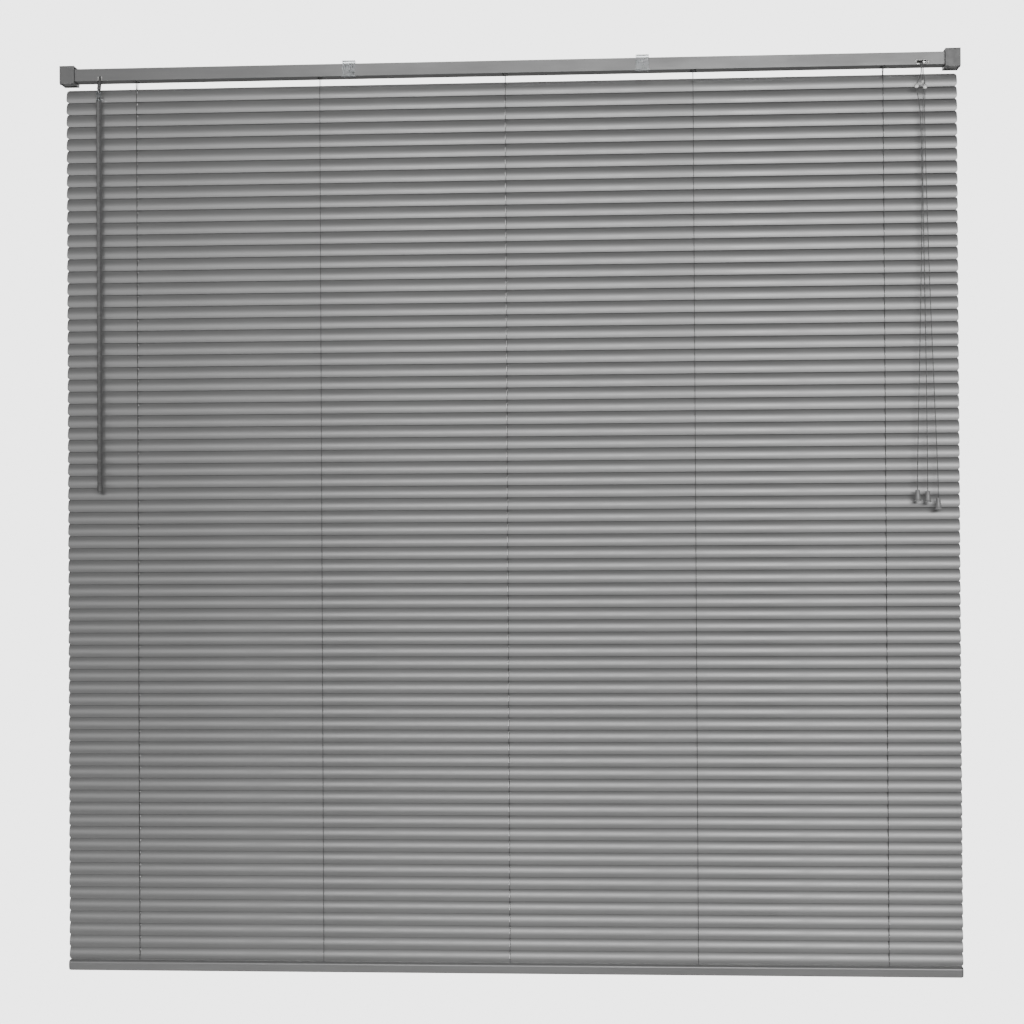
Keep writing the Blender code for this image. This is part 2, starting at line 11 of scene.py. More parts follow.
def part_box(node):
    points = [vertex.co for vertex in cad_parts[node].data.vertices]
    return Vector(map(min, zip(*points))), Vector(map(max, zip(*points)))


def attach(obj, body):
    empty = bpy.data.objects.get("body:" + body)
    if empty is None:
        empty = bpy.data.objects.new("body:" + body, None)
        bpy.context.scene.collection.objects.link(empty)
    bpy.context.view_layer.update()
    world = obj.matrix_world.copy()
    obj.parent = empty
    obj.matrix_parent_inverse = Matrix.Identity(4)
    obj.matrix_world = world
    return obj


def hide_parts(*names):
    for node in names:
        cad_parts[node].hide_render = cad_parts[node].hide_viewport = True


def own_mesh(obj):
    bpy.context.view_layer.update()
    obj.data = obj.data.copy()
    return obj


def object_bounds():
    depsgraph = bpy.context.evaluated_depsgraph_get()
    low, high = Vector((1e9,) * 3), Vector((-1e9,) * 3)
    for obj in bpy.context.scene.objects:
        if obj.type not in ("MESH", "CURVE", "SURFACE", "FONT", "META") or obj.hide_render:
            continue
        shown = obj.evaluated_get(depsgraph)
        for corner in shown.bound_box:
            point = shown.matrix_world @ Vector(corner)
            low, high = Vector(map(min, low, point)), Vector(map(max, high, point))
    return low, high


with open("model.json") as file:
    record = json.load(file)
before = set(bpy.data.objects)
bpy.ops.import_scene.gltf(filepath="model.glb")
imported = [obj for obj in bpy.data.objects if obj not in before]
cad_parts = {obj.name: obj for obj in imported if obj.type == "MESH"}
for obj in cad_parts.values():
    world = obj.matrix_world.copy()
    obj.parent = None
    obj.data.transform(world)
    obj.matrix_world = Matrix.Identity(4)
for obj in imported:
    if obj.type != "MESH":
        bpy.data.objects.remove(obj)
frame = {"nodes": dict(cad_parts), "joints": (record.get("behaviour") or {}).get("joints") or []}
cad_low, cad_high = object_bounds()

MM = 0.001

# The slats. One in three is a body of the frame, and the two beside it ride on it.
SLAT_COUNT = 72
FIRST_BODY = 2
SLATS_PER_GROUP = 3
slat_low, slat_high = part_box("slat_02")
SLAT_PITCH = (slat_high.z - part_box("slat_05")[1].z) / SLATS_PER_GROUP
SLATS_X = (slat_low.x + slat_high.x) / 2
SLAT_LENGTH = slat_high.x - slat_low.x
FIRST_SLAT_Z = -51.5 * MM
SLAT_WIDTH = 25 * MM
SLAT_CROWN = 2.9 * MM
SLAT_THICKNESS = 0.25 * MM
SLAT_CORNER = 5.5 * MM
SLAT_TILT = math.radians(74)  # closed; the tilt joint turns the slats by as much, to flat
SLAT_EDGE_STEPS = [-12.5, -12.3, -11.9, -11.2, -10.2, -9]  # mm across, through the corner's curve
SLOT_LENGTH = 14 * MM
SLOT_WIDTH = 1.5 * MM
SLOT_END = 1.1 * MM  # over which a slot narrows at each end

# Ladders, cords and what hangs on them.
LADDER_X = [SLATS_X + (i - 2) * 334 * MM for i in range(5)]
LIFT_X = LADDER_X[::2]
STRING_RADIUS = 0.4 * MM
STRING_FRONT = -4 * MM
STRING_BACK = 5.8 * MM
STRING_TOP = 8.4 * MM  # out from the middle, where a string leaves the rail
STRING_TOP_BEND = 9 * MM  # its bend's depth under the rail
STRING_STRAIGHT_Z = -44 * MM  # from where it hangs straight
FIRST_KNOT_Z = -52 * MM
RUNG_RADIUS = 0.3 * MM
RUNG_SPREAD = 2.6 * MM  # between its threads and its middle, where they are farthest apart
RUNG_FRONT = (-13.2 * MM, 0.3 * MM)  # y and z where it is tied, as the slat lies flat
RUNG_BACK = (13.1 * MM, -2.3 * MM)
DRUM_RADIUS = 9 * MM
SHAFT_Z = -15 * MM
UNDER_RAIL = -27.6 * MM
CORD_DIAMETER = 1.4 * MM
PULL_Y = -19.3 * MM
BEAD_RADIUS = 4 * MM
BEAD_CAP_ANGLE = 74  # degrees of latitude, where a bead's bore starts

MIDDLE_Z = -0.8


# --- materials ------------------------------------------------------------------------------


class Look:
    """A Principled material and short ways to add nodes to it."""

    def __init__(self, name, color, roughness, metallic=0.0, **extra):
        self.made = bpy.data.materials.new(name)
        self.made.use_nodes = True
        self.tree = self.made.node_tree
        self.shader = self.tree.nodes["Principled BSDF"]
        self.color = color
        self.shader.inputs["Base Color"].default_value = (*color, 1)
        self.shader.inputs["Roughness"].default_value = roughness
        self.shader.inputs["Metallic"].default_value = metallic
        for socket, value in extra.items():
            self.shader.inputs[socket.replace("_", " ")].default_value = value
        self.coords = self.tree.nodes.new("ShaderNodeTexCoord").outputs["Object"]
        self.height = None

    def node(self, kind, **settings):
        made = self.tree.nodes.new(kind)
        for socket, value in settings.items():
            made.inputs[socket].default_value = value
        return made

    def link(self, source, target):
        self.tree.links.new(source, target)

    def noise(self, scale, stretch=(1, 1, 1), detail=3.0, rough=0.6):
        mapping = self.node("ShaderNodeMapping", Scale=stretch)
        self.link(self.coords, mapping.inputs["Vector"])
        made = self.node("ShaderNodeTexNoise", Scale=scale, Detail=detail, Roughness=rough)
        self.link(mapping.outputs["Vector"], made.inputs["Vector"])
        return made.outputs["Fac"]

    def bands(self, scale, direction="Z", distortion=0.0, stretch=(1, 1, 1)):
        mapping = self.node("ShaderNodeMapping", Scale=stretch)
        self.link(self.coords, mapping.inputs["Vector"])
        made = self.node("ShaderNodeTexWave", Scale=scale, Distortion=distortion)
        made.bands_direction = direction
        self.link(mapping.outputs["Vector"], made.inputs["Vector"])
        return made.outputs["Fac"]

    def spread(self, source, low, high, to_low, to_high):
        ends = {"From Min": low, "From Max": high, "To Min": to_low, "To Max": to_high}
        made = self.node("ShaderNodeMapRange", **ends)
        self.link(source, made.inputs["Value"])
        return made.outputs["Result"]

    def vary_color(self, source, dark, light, low=0.35, high=0.65):
        """The colour runs between dark and light times the base colour as the source rises."""
        ramp = self.node("ShaderNodeValToRGB")
        ramp.color_ramp.elements[0].position = low
        ramp.color_ramp.elements[1].position = high
        ramp.color_ramp.elements[0].color = (*[c * dark for c in self.color], 1)
        ramp.color_ramp.elements[1].color = (*[c * light for c in self.color], 1)
        self.link(source, ramp.inputs["Fac"])
        self.link(ramp.outputs["Color"], self.shader.inputs["Base Color"])

    def vary_roughness(self, source, to_low, to_high):
        self.link(self.spread(source, 0.3, 0.7, to_low, to_high), self.shader.inputs["Roughness"])

    def bump(self, source, depth, strength=1.0):
        made = self.node("ShaderNodeBump", Strength=strength, Distance=depth)
        self.link(source, made.inputs["Height"])
        if self.height:
            self.link(self.height, made.inputs["Normal"])
        self.height = made.outputs["Normal"]
        self.link(self.height, self.shader.inputs["Normal"])


def enamel(name, color, roughness):
    """Stove enamel on rolled metal: fine orange peel, faint rolling streaks, gloss that varies."""
    look = Look(name, color, roughness, 0.55, Coat_Weight=0.2, Coat_Roughness=0.3)
    streaks = look.noise(40, (0.06, 1, 1), 4)
    look.vary_color(streaks, 0.93, 1.05)
    look.vary_roughness(look.noise(18, (0.3, 1, 1), 5), roughness - 0.06, roughness + 0.07)
    look.bump(look.noise(900, detail=2), 0.00003, 0.35)
    look.bump(look.noise(60, (0.05, 1, 1), 2), 0.0001, 0.12)
    return look.made


def moulded(name, color, roughness, grain=1600):
    """Moulded plastic with a fine spark texture and uneven gloss."""
    look = Look(name, color, roughness)
    look.vary_color(look.noise(90, detail=4), 0.95, 1.05)
    look.vary_roughness(look.noise(140, detail=5), roughness - 0.07, roughness + 0.08)
    look.bump(look.noise(grain, detail=2), 0.00004, 0.4)
    return look.made


def clear_plastic(name):
    """Clear moulded plastic, faintly hazed and uneven."""
    look = Look(name, (0.88, 0.9, 0.91), 0.08, IOR=1.2, Transmission_Weight=0.97)
    look.vary_roughness(look.noise(220, detail=4), 0.06, 0.2)
    look.bump(look.noise(120, detail=3), 0.00003, 0.2)
    return look.made


def braid(name, color, plaits=900):
    """Braided polyester: two sets of slanting yarns over a fuzzy ground."""
    look = Look(name, color, 0.85, Sheen_Weight=0.15, Sheen_Roughness=0.5)
    one = look.bands(plaits, "DIAGONAL", 0.4)
    two = look.bands(plaits, "DIAGONAL", 0.4, (-1, -1, 1))
    weave = look.tree.nodes.new("ShaderNodeMath")
    weave.operation = "MULTIPLY"
    look.link(one, weave.inputs[0])
    look.link(two, weave.inputs[1])
    look.vary_color(weave.outputs[0], 0.72, 1.2, 0.05, 0.7)
    look.bump(weave.outputs[0], 0.00012, 0.8)
    look.bump(look.noise(3500, detail=2), 0.00003, 0.4)
    return look.made


def metal(name, color, roughness, stretch=(1, 1, 0.05)):
    """Drawn or turned metal, with fine lines along its length."""
    look = Look(name, color, roughness, 0.95)
    lines = look.noise(900, stretch, 4)
    look.vary_color(lines, 0.85, 1.05)
    look.vary_roughness(lines, roughness - 0.1, roughness + 0.12)
    look.bump(lines, 0.00002, 0.3)
    return look.made


SLAT_PAINT = enamel("slat_paint", (0.35, 0.35, 0.35), 0.41)
RAIL_PAINT = enamel("rail_paint", (0.185, 0.185, 0.185), 0.42)
GREY_PLASTIC = moulded("grey_plastic", (0.15, 0.15, 0.15), 0.42)
WAND_PLASTIC = moulded("wand_plastic", (0.14, 0.14, 0.14), 0.26, 500)
TASSEL_PLASTIC = moulded("tassel_plastic", (0.3, 0.3, 0.3), 0.3, 700)
BEAD_PLASTIC = moulded("bead_plastic", (0.8, 0.8, 0.79), 0.25, 700)
NATURAL_PLASTIC = moulded("natural_plastic", (0.66, 0.66, 0.64), 0.5)
DARK_PLASTIC = moulded("dark_plastic", (0.05, 0.05, 0.052), 0.5)
CLEAR = clear_plastic("clear_plastic")
STRING = braid("string_braid", (0.12, 0.12, 0.12), 1400)
CORD = braid("cord_braid", (0.15, 0.15, 0.15))
STEEL = metal("steel", (0.6, 0.6, 0.59), 0.35)
ZINC = metal("zinc", (0.72, 0.72, 0.71), 0.3, (0.05, 1, 1))


# --- mesh helpers ---------------------------------------------------------------------------


def add_piece(name, data, look, body="frame", place=None):
    """Links a piece, paints it, and lets it ride on a body of the frame."""
    made = bpy.data.objects.new(name, data)
    if not data.materials:
        data.materials.append(look)
    bpy.context.scene.collection.objects.link(made)
    if place:
        made.matrix_world = place
    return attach(made, body)


def finished_mesh(name, bm, degrees=35):
    """The bmesh as a mesh, smooth but for edges sharper than so many degrees."""
    bmesh.ops.recalc_face_normals(bm, faces=bm.faces)
    mesh = bpy.data.meshes.new(name)
    bm.to_mesh(mesh)
    bm.free()
    mesh.shade_smooth()
    mesh.set_sharp_from_angle(angle=math.radians(degrees))
    return mesh


def turned_mesh(name, profile, sides=32, matrix=None):
    """A solid of revolution about Z from (radius, height) points on one closed loop."""
    bm = bmesh.new()
    corners = [bm.verts.new((radius, 0, height)) for radius, height in profile]
    edges = [bm.edges.new((a, b)) for a, b in zip(corners, corners[1:] + corners[:1])]
    whole = {"cent": (0, 0, 0), "axis": (0, 0, 1), "angle": math.tau, "steps": sides}
    bmesh.ops.spin(bm, geom=corners + edges, **whole)
    bmesh.ops.remove_doubles(bm, verts=bm.verts, dist=1e-6)
    bmesh.ops.dissolve_degenerate(bm, edges=bm.edges, dist=1e-7)
    if matrix:
        bmesh.ops.transform(bm, verts=bm.verts, matrix=matrix)
    return finished_mesh(name, bm)


def prism_mesh(name, outline, left, right, softened=0.0):
    """A prism along X whose section is the (y, z) outline, its edges softened if asked."""
    bm = bmesh.new()
    face = bm.faces.new([bm.verts.new((left, y, z)) for y, z in outline])
    grown = bmesh.ops.extrude_face_region(bm, geom=[face])
    corners = [v for v in grown["geom"] if isinstance(v, bmesh.types.BMVert)]
    bmesh.ops.translate(bm, verts=corners, vec=(right - left, 0, 0))
    if softened:
        bmesh.ops.bevel(bm, geom=bm.edges, offset=softened, segments=3, profile=0.5, affect="EDGES")
    return finished_mesh(name, bm)


def modified_mesh(holder):
    """The mesh of an object with its modifiers done; the object goes."""
    bpy.context.view_layer.update()
    seen = holder.evaluated_get(bpy.context.evaluated_depsgraph_get())
    mesh = bpy.data.meshes.new_from_object(seen)
    bpy.data.objects.remove(holder)
    return mesh


def tube_mesh(route, radius, sides, bm=None):
    """A capped tube along points, added to bm or to a new one."""
    bm = bm or bmesh.new()
    route = [Vector(p) for p in route]
    rings = []
    runs_along_y = abs((route[1] - route[0]).normalized().y) >= 0.9
    side_way = Vector((1, 0, 0)) if runs_along_y else Vector((0, 1, 0))
    for i, place in enumerate(route):
        along = (route[min(i + 1, len(route) - 1)] - route[max(i - 1, 0)]).normalized()
        u = along.cross(side_way).normalized()
        v = along.cross(u).normalized()
        ring = []
        for s in range(sides):
            angle = math.tau * s / sides
            ring.append(bm.verts.new(place + radius * (math.cos(angle) * u + math.sin(angle) * v)))
        rings.append(ring)
    for low, high in zip(rings, rings[1:]):
        for s in range(sides):
            bm.faces.new((low[s], low[(s + 1) % sides], high[(s + 1) % sides], high[s]))
    bm.faces.new(rings[0])
    bm.faces.new(list(reversed(rings[-1])))
    return bm


def shift_with_tilt(piece):
    """Gives a piece a mesh of its own; it is not shifted as the slats turn."""
    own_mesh(piece)


# --- free cords and the camera --------------------------------------------------------------

# The blind seen almost square on, from a little right of its middle.
CAMERA_PLACE = (0.18, -3.077, -0.831)
CAMERA_LENS = 60.7
CAMERA_YAW, CAMERA_PITCH, CAMERA_ROLL = (math.radians(a) for a in (3.17, 0.4, 0.32))

camera = bpy.data.objects.new("camera", bpy.data.cameras.new("camera"))
bpy.context.scene.collection.objects.link(camera)
camera.data.lens = CAMERA_LENS
camera.data.clip_end = 50
turn = Matrix.Rotation(CAMERA_YAW, 4, "Z") @ Matrix.Rotation(CAMERA_PITCH, 4, "X")
turn = turn @ Matrix.Rotation(CAMERA_ROLL, 4, "Y") @ Matrix.Rotation(math.pi / 2, 4, "X")
camera.matrix_world = Matrix.Translation(CAMERA_PLACE) @ turn
bpy.context.scene.camera = camera

CORD_EXITS_X = [733 * MM, 734.7 * MM, 736.4 * MM]
# Each cord's way down from the lock, past its bead: x, y and z in millimetres.
PULL_WAYS = [
    [(732.8, -19.3, -46), (725.5, -19.3, -66), (728.5, -19.3, -90), (732, -19.3, -120)],
    [(735.4, -19.3, -46), (736.8, -19.3, -60), (736.2, -19.3, -120)],
    [(737.4, -22, -46), (738.4, -24.4, -58), (739, -24.6, -69), (738.6, -21.5, -120)],
]
# And on down to its tassel: x and z in millimetres.
PULL_SWAYS = [
    [(733.5, -250), (731, -400), (727, -560)],
    [(735.2, -250), (736.8, -400), (738.6, -560)],
    [(741.5, -250), (745.5, -400), (750.8, -560)],
]
TASSELS_X = [722.3 * MM, 739.7 * MM, 757.8 * MM]
TASSELS_BOTTOM = [-795 * MM, -797 * MM, -809 * MM]
TASSEL_HEIGHT = 20 * MM
TASSEL_NECK = 3.9 * MM
TASSEL_FLARE = 1.9 * MM
FLARE_TOP = TASSEL_HEIGHT - 2.6 * MM
FLARE_BOTTOM = 2.4 * MM
LOCK_Z = -24.2 * MM
BEAD_Z = [-66 * MM, -59.5 * MM, -69.5 * MM]


def smooth_route(stops, samples):
    """Points on a smooth curve through the stops, with extra ones only on its short spans."""
    longest_bent_span = 200 * MM
    stops = [Vector(s) for s in stops]
    ends = [2 * stops[0] - stops[1], *stops, 2 * stops[-1] - stops[-2]]
    route = []
    for before, a, b, after in zip(ends, ends[1:], ends[2:], ends[3:]):
        span = (b - a).length
        leave, arrive = (b - before).normalized() * span, (after - a).normalized() * span
        steps = samples if span < longest_bent_span else 1
        for step in range(steps):
            t = step / steps
            stay = 2 * t**3 - 3 * t**2
            bend = leave * (t**3 - 2 * t**2 + t) + arrive * (t**3 - t**2)
            route.append(a * (stay + 1) - b * stay + bend)
    return [*route, stops[-1]]


def pull_route(number):
    """Out of the lock, over its lip, and down to the tassel."""
    exit_x = CORD_EXITS_X[number]
    bottom = TASSELS_BOTTOM[number] + TASSEL_HEIGHT + 0.3 * MM
    stops = [
        (exit_x, -12.3 * MM, LOCK_Z),
        (exit_x, -13.5 * MM, LOCK_Z),
        (exit_x, PULL_Y + 2.3 * MM, LOCK_Z - 0.1 * MM),
        (exit_x, PULL_Y + 0.7 * MM, LOCK_Z - 1.1 * MM),
        (exit_x, PULL_Y, -28 * MM),
        *[(x * MM, y * MM, z * MM) for x, y, z in PULL_WAYS[number]],
        *[(x * MM, PULL_Y, z * MM) for x, z in PULL_SWAYS[number]],
        (TASSELS_X[number], PULL_Y, bottom + 30 * MM),
        (TASSELS_X[number], PULL_Y, bottom),
    ]
    return smooth_route(stops, 5)


def tassel_mesh():
    """A moulded bell: a ringed neck, a long flare and a rolled foot."""
    height = TASSEL_HEIGHT
    neck = [
        (0.9 * MM, height),
        (3.2 * MM, height),
        (TASSEL_NECK, height - 0.5 * MM),
        (4.1 * MM, height - 1.6 * MM),
        (3.7 * MM, height - 2.1 * MM),
        (TASSEL_NECK, FLARE_TOP),
    ]
    flare = []
    for step in range(1, 9):
        share = step / 8
        radius = TASSEL_NECK + TASSEL_FLARE * share**1.5
        flare.append((radius, FLARE_TOP * (1 - share) + FLARE_BOTTOM * share))
    foot = [
        (6.3 * MM, 1.9 * MM),
        (6.4 * MM, 1 * MM),
        (6.2 * MM, 0.3 * MM),
        (5.7 * MM, 0),
        (5 * MM, 0.2 * MM),
    ]
    inside = [
        (4.6 * MM, 1.5 * MM),
        (3.6 * MM, height * 0.3),
        (1.6 * MM, height * 0.5),
        (0, height * 0.52),
    ]
    return turned_mesh("tassel", [(0, height), *neck, *flare, *foot, *inside], 40)


def bead_mesh():
    """A ball with a bore for its cord."""
    ball = [(0.8 * MM, BEAD_RADIUS * 0.95), (0.8 * MM, -BEAD_RADIUS * 0.95)]
    for step in range(13):
        angle = math.radians(BEAD_CAP_ANGLE * (step / 6 - 1))
        ball.append((BEAD_RADIUS * math.cos(angle), BEAD_RADIUS * math.sin(angle)))
    return turned_mesh("bead", ball, 32)


def cord_curve(name, route):
    """A round cord along the route."""
    curve = bpy.data.curves.new(name, "CURVE")
    curve.dimensions = "3D"
    curve.bevel_depth = CORD_DIAMETER / 2
    curve.bevel_resolution = 3
    curve.use_fill_caps = True
    spline = curve.splines.new("POLY")
    spline.points.add(len(route) - 1)
    for point, place in zip(spline.points, route):
        point.co = (*place, 1)
    return curve


def make_pull_cords():
    """The three free ends of the lift cords, each with its bead and its bell."""
    shape = tassel_mesh()
    for number in range(3):
        route = pull_route(number)
        tassel = add_piece(f"bell_{number + 1}", shape, TASSEL_PLASTIC)
        tassel.location = (TASSELS_X[number], PULL_Y, TASSELS_BOTTOM[number])
        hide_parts(f"tassel_{number + 1}")

        bead = add_piece(f"bead_{number + 1}", bead_mesh(), BEAD_PLASTIC)
        bead.location = min(route, key=lambda p: abs(p.z - BEAD_Z[number]))

        name = f"cord_{number + 1}"
        cord = add_piece(name, cord_curve(name, route), CORD)
        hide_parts(f"pull_cord_{number + 1}")


make_pull_cords()


# --- slats and ladders ----------------------------------------------------------------------


def slat_mesh():
    """One painted slat lying flat: crowned, round-cornered, with a slot for each lift cord."""
    half, slot = SLAT_WIDTH / 2, SLOT_LENGTH / 2
    slot_end = slot - SLOT_END
    inner = [-slot, -slot_end, -3 * MM, 0, 3 * MM, slot_end, slot]
    chord = [c * MM for c in SLAT_EDGE_STEPS] + inner + [-c * MM for c in reversed(SLAT_EDGE_STEPS)]

    def end(across):
        """Half the slat's length at a place across it, less at its round corners."""
        past = max(abs(across) - (half - SLAT_CORNER), 0)
        return SLAT_LENGTH / 2 - SLAT_CORNER + math.sqrt(max(SLAT_CORNER**2 - past**2, 0))

    bm = bmesh.new()
    rows = []
    for across in chord:
        height = SLAT_CROWN * (0.5 - (across / half) ** 2)
        columns = []
        if abs(across) <= slot + 1e-9:
            narrow = 0.35 if abs(abs(across) - slot) < 1e-9 else 1.0
            for x in LIFT_X:
                reach = SLOT_WIDTH / 2 * narrow
                columns += [x - SLATS_X - reach, x - SLATS_X + reach]
        places = (-end(across), *columns, end(across))
        rows.append([bm.verts.new((x, across, height)) for x in places])
    for low, high in zip(rows, rows[1:]):
        if len(low) == len(high) and len(low) > 2:
            for i in range(0, len(low), 2):
                bm.faces.new((low[i], low[i + 1], high[i + 1], high[i]))
        else:
            bm.faces.new([*low, *reversed(high)])
    bmesh.ops.recalc_face_normals(bm, faces=bm.faces)
    flat = bpy.data.meshes.new("slat_sheet")
    bm.to_mesh(flat)
    bm.free()
    holder = bpy.data.objects.new("slat_sheet", flat)
    bpy.context.scene.collection.objects.link(holder)
    thicken = holder.modifiers.new("thickness", "SOLIDIFY")
    thicken.thickness = SLAT_THICKNESS
    thicken.offset = 1 if flat.polygons[0].normal.z > 0 else -1
    mesh = modified_mesh(holder)
    mesh.name = "slat"
    mesh.shade_smooth()
    mesh.set_sharp_from_angle(angle=math.radians(30))
    return mesh


def rung_mesh():
    """The five rungs under one slat, each two threads from the front string to the back one."""
    bm = bmesh.new()
    reach = SLAT_WIDTH / 2 + 0.2 * MM
    for x in LADDER_X:
        for lean in (-1, 1):
            stops = [(x - SLATS_X, *RUNG_FRONT)]
            for share in (-1, -0.55, 0, 0.55, 1):
                beside = lean * RUNG_SPREAD * (1 - abs(share))
                under = SLAT_CROWN * (0.75 * (1 - share**2) - 0.5) - 0.45 * MM
                stops.append((x - SLATS_X + beside, reach * share, under))
            stops.append((x - SLATS_X, *RUNG_BACK))
            tube_mesh(stops, RUNG_RADIUS, 5, bm)
    return finished_mesh("rungs", bm, 60)


def make_slats():
    """Every slat and its rungs, on the body of its group; each neighbour gets a mesh of its own."""
    slat_shape, rung_shape = slat_mesh(), rung_mesh()
    closed = Matrix.Rotation(SLAT_TILT, 4, "X")
    for number in range(1, SLAT_COUNT + 1):
        group = (number - 1) // SLATS_PER_GROUP * SLATS_PER_GROUP + FIRST_BODY
        body = f"slat_{group:02d}"
        centre = Vector((SLATS_X, 0, FIRST_SLAT_Z - (number - 1) * SLAT_PITCH))
        for name, shape, look in (("blade", slat_shape, SLAT_PAINT), ("rungs", rung_shape, STRING)):
            place = Matrix.Translation(centre) @ closed
            piece = add_piece(f"{name}_{number:02d}", shape, look, body, place)
            if number == group:
                if name == "blade":
                    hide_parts(body)
                continue
            shift_with_tilt(piece)


def make_ladders():
    """Each ladder: a string over its drum, and a front and a back string that hang down past the
    slats.
    """
    over = DRUM_RADIUS + 0.3 * MM + STRING_RADIUS
    top, bottom = UNDER_RAIL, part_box("bottom_rail")[1].z + 0.3 * MM
    for number, x in enumerate(LADDER_X, 1):
        arc = []
        for step in range(17):
            angle = math.pi * step / 16
            arc.append((x, -over * math.cos(angle), SHAFT_Z + over * math.sin(angle)))
        leave = [(x, -STRING_TOP, top), (x, -over, SHAFT_Z - 4 * MM)]
        arrive = [(x, over, SHAFT_Z - 4 * MM), (x, STRING_TOP, top)]
        loop = finished_mesh("loop", tube_mesh([*leave, *arc, *arrive], STRING_RADIUS, 8), 60)
        hung = add_piece(f"ladder_loop_{number}", loop, STRING)
        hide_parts(f"ladder_{number}")
        for word, side, y in (("front", -1, STRING_FRONT), ("back", 1, STRING_BACK)):
            start = side * STRING_TOP
            stops = [
                (x, start, top),
                (x, (start + 2 * y) / 3, top - STRING_TOP_BEND),
                (x, y, STRING_STRAIGHT_Z),
            ]
            for knot in range(SLAT_COUNT + 1):
                stops.append((x, y, FIRST_KNOT_Z + (bottom - FIRST_KNOT_Z) * knot / SLAT_COUNT))
            string = finished_mesh("string", tube_mesh(stops, STRING_RADIUS, 8), 60)
            piece = add_piece(f"ladder_{word}_{number}", string, STRING)
            shift_with_tilt(piece)


make_slats()
make_ladders()


# --- head rail, brackets and supports -------------------------------------------------------


def screw_mesh(name, radius, matrix):
    """A pan head with a cross cut into it."""
    rim = [(0, 0), (radius, 0), (radius, radius * 0.25)]
    for step in range(1, 7):
        angle = math.radians(15 * step)
        rim.append((radius * math.cos(angle), radius * (0.25 + 0.35 * math.sin(angle))))
    rim[-1] = (0, radius * 0.6)
    mesh = turned_mesh(name, rim, 24)
    holder = bpy.data.objects.new(name, mesh)
    bpy.context.scene.collection.objects.link(holder)
    bm = bmesh.new()
    blade = Matrix.Diagonal((radius * 1.2, radius * 0.25, radius * 0.7, 1))
    for turned in (0, math.pi / 2):
        across = Matrix.Translation((0, 0, radius * 0.65)) @ Matrix.Rotation(turned, 4, "Z")
        bmesh.ops.create_cube(bm, size=1, matrix=across @ blade)
    cutter = bpy.data.objects.new("cross", bpy.data.meshes.new("cross"))
    bm.to_mesh(cutter.data)
    bm.free()
    bpy.context.scene.collection.objects.link(cutter)
    recess = holder.modifiers.new("recess", "BOOLEAN")
    recess.operation = "DIFFERENCE"
    recess.use_self = True
    recess.object = cutter
    made = modified_mesh(holder)
    bpy.data.objects.remove(cutter)
    made.transform(matrix)
    return made


def make_bracket_details():
    """Hinge knuckles and finger lips of the doors, and two screw heads on top of each bracket."""
    for word, side in (("left", -1), ("right", 1)):
        low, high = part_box(f"bracket_{word}")
        door_low, door_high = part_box(f"door_{word}")
        hinge_y, hinge_z = (door_low.y + door_high.y) / 2 + 0.6 * MM, low.z - 1.0 * MM
        pin = [(0, 2.2 * MM), (1.6 * MM, 2.2 * MM), (1.6 * MM, -2.2 * MM), (0, -2.2 * MM)]
        for end, x in (("a", door_low.x + 3.2 * MM), ("b", door_high.x - 3.2 * MM)):
            along_x = Matrix.Translation((x, hinge_y, hinge_z)) @ Matrix.Rotation(math.pi / 2, 4, "Y")
            knuckle = turned_mesh("knuckle", pin, 20, along_x)
            add_piece(f"hinge_knuckle_{word}_{end}", knuckle, DARK_PLASTIC)
        back, front, top = door_low.y, door_low.y - 0.9 * MM, door_high.z
        ridge = [
            (back, top - 3.2 * MM),
            (front, top - 2.6 * MM),
            (front, top - 1.6 * MM),
            (back, top - 1.2 * MM),
        ]
        inset = 7 * MM
        lip = prism_mesh("lip", ridge, door_low.x + inset, door_high.x - inset, 0.25 * MM)
        add_piece(f"door_lip_{word}", lip, GREY_PLASTIC, f"door_{word}")
        for place, y in (("front", -7 * MM), ("back", 7 * MM)):
            x = (low.x + high.x) / 2 + side * 2 * MM
            head = screw_mesh("screw", 3.1 * MM, Matrix.Translation((x, y, high.z)))
            add_piece(f"screw_{word}_{place}", head, ZINC)


def make_drum_cradles():
    """The two forked cheeks that cradle each drum."""
    half, notch, thickness = 11 * MM, 6 * MM, 1.6 * MM
    foot, seat, top = -26 * MM, -22.5 * MM, -14.5 * MM
    outline = [
        (-half, foot),
        (half, foot),
        (half, top),
        (notch, top),
        (notch, seat),
        (-notch, seat),
        (-notch, top),
        (-half, top),
    ]
    for number, x in enumerate(LADDER_X, 1):
        for word, side in (("left", -1), ("right", 1)):
            inner = x + side * notch
            left, right = sorted((inner, inner + side * thickness))
            cheek = prism_mesh("cheek", outline, left, right, 0.2 * MM)
            add_piece(f"cradle_{number}_{word}", cheek, NATURAL_PLASTIC)


def make_lock_guide():
    """The cord lock's metal rim, a wire round its opening in the head rail's front."""
    rail_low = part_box("headrail")[0]
    middle_x = (CORD_EXITS_X[0] + CORD_EXITS_X[-1]) / 2
    half_width, half_height = 9.5 * MM, 3.2 * MM
    front, middle_z = rail_low.y - 0.5 * MM, rail_low.z + 4.6 * MM
    corners = []
    for cx, cz in ((1, 1), (-1, 1), (-1, -1), (1, -1)):
        corners.append((middle_x + cx * half_width, middle_z + cz * half_height))
    ring = []
    for (ax, az), (bx, bz) in zip(corners, corners[1:] + corners[:1]):
        for share in (0.08, 0.5, 0.92):
            ring.append((ax + (bx - ax) * share, front, az + (bz - az) * share))
    ring.append(ring[0])
    wire = tube_mesh(ring, 0.7 * MM, 8)
    add_piece("lock_guide_rim", finished_mesh("rim", wire, 60), ZINC)


def signed_power(value, power):
    return math.copysign(abs(value) ** power, value)


